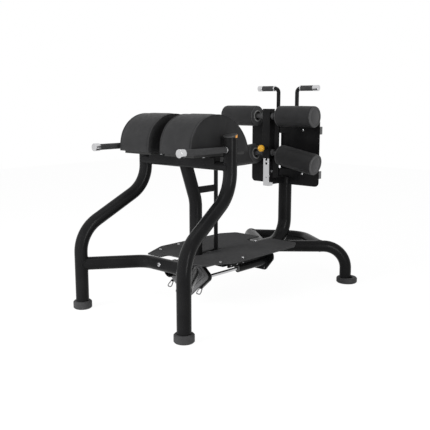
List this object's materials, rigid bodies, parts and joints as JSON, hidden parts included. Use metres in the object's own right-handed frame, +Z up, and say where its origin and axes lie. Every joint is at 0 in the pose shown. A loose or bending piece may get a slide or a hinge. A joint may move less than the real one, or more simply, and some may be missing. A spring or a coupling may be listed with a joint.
{
  "type": "glute ham developer",
  "caption": "Free-standing glute ham bench with split half-round thigh pads, hand grips, standing deck, foot plates, height-adjustable ankle rollers and an under-deck band anchor slide.",
  "frame": {"origin": "on the floor at the middle of the machine's length and width", "axes": "+X to the user's right when facing the foot plates, +Y from the hand grips towards the foot plates, +Z up"},
  "size_m": [0.992, 1.6639, 1.296],
  "materials": {
    "accent_orange": "orange plastic",
    "black_nylon": "black nylon",
    "bolt_steel": "zinc plated",
    "brushed_aluminium": "turned aluminium",
    "bushing_plastic": "light grey plastic",
    "cap_plastic": "dark grey plastic",
    "chrome_steel": "bright chrome",
    "deck_plate": "fine textured black powder coat",
    "end_plug_plastic": "grey moulded plug",
    "foot_rubber": "dark grey rubber",
    "frame_black": "satin black powder coat",
    "grip_rubber": "black fine ribbed rubber",
    "knob_yellow": "yellow plastic",
    "pad_board": "black stained plywood",
    "pin_steel": "bright steel",
    "ring_steel": "zinc plated",
    "roller_cover": "black grained vinyl over foam",
    "roller_end_plastic": "grey moulded end disc",
    "slab_grey": "grey paint",
    "upholstery": "black grained vinyl with a piped edge"
  },
  "bodies": {
    "frame": {"front_leg_right": "frame_black", "front_leg_left": "frame_black", "leg_caps": "cap_plastic", "cap_accents": "accent_orange", "front_foot_right": "foot_rubber", "front_foot_left": "foot_rubber", "rear_foot_right": "foot_rubber", "rear_foot_left": "foot_rubber", "lower_crossbar": "frame_black", "upper_crossbar": "frame_black", "rear_crossbar": "frame_black", "spine_column": "frame_black", "rear_leg_right": "frame_black", "rear_leg_left": "frame_black", "centre_post": "frame_black", "pad_strut": "frame_black", "link_plate": "frame_black", "deck": "deck_plate", "deck_cross_members": "frame_black", "thigh_pad_right": "upholstery", "thigh_pad_left": "upholstery", "pad_boards": "pad_board", "pad_carrier": "frame_black", "handle_bars": "frame_black", "handle_grip_right": "grip_rubber", "handle_grip_left": "grip_rubber", "foot_plate_right": "frame_black", "foot_plate_left": "frame_black", "foot_plate_frame": "frame_black", "cross_tube_ends": "end_plug_plastic", "top_handle_bars": "frame_black", "top_handle_grips": "grip_rubber", "roller_post": "chrome_steel", "post_arm": "frame_black", "slide_housings": "frame_black", "slide_bushings": "bushing_plastic", "rear_plate": "frame_black", "fixings": "bolt_steel", "grip_trims": "brushed_aluminium"},
    "roller_carriage": {"carriage_tube": "frame_black", "carriage_sleeve": "black_nylon", "pin_barrel": "black_nylon", "upper_axles": "frame_black", "lower_axles": "frame_black"},
    "pop_pin_body": {"pop_pin": "pin_steel", "pin_knob": "knob_yellow"},
    "anchor_carriage": {"anchor_plate": "frame_black", "anchor_slabs": "slab_grey", "slide_rods": "chrome_steel"},
    "ring_right": {"anchor_ring_right": "ring_steel"},
    "ring_left": {"anchor_ring_left": "ring_steel"},
    "upper_right_spool": {"upper_roller_right": "roller_cover", "upper_hub_right": "roller_end_plastic"},
    "upper_left_spool": {"upper_roller_left": "roller_cover", "upper_hub_left": "roller_end_plastic"},
    "lower_right_spool": {"lower_roller_right": "roller_cover", "lower_hub_right": "roller_end_plastic"},
    "lower_left_spool": {"lower_roller_left": "roller_cover", "lower_hub_left": "roller_end_plastic"}
  },
  "joints": [
    {"name": "roller_height", "type": "slide", "parent": "frame", "child": "roller_carriage", "axis": [0, 0, 1], "range_m": [-0.102, 0.051]},
    {"name": "pin_pull", "type": "slide", "parent": "roller_carriage", "child": "pop_pin_body", "axis": [0, -1, 0], "range_m": [-0.008, 0.006], "stiffness_N_per_m": 500, "springref_m": -0.008},
    {"name": "anchor_slide", "type": "slide", "parent": "frame", "child": "anchor_carriage", "axis": [0, 1, 0], "range_m": [0, 0.15]},
    {"name": "upper_right_spin", "type": "hinge", "parent": "roller_carriage", "child": "upper_right_spool", "pos_m": [0.092, 0.42997, 1.098], "axis": [1, 0, 0], "continuous": true},
    {"name": "lower_right_spin", "type": "hinge", "parent": "roller_carriage", "child": "lower_right_spool", "pos_m": [0.102, 0.42997, 0.852], "axis": [0.9838, 0, -0.1792], "continuous": true},
    {"name": "ring_right_swing", "type": "hinge", "parent": "anchor_carriage", "child": "ring_right", "pos_m": [0.1195, -0.33603, 0.131], "axis": [1, 0, 0], "range_deg": [-35, 45]},
    {"name": "upper_left_spin", "type": "hinge", "parent": "roller_carriage", "child": "upper_left_spool", "pos_m": [-0.092, 0.42997, 1.098], "axis": [1, 0, 0], "continuous": true},
    {"name": "lower_left_spin", "type": "hinge", "parent": "roller_carriage", "child": "lower_left_spool", "pos_m": [-0.102, 0.42997, 0.852], "axis": [0.9838, 0, 0.1792], "continuous": true},
    {"name": "ring_left_swing", "type": "hinge", "parent": "anchor_carriage", "child": "ring_left", "pos_m": [-0.1195, -0.33603, 0.131], "axis": [1, 0, 0], "range_deg": [-35, 45]}
  ]
}
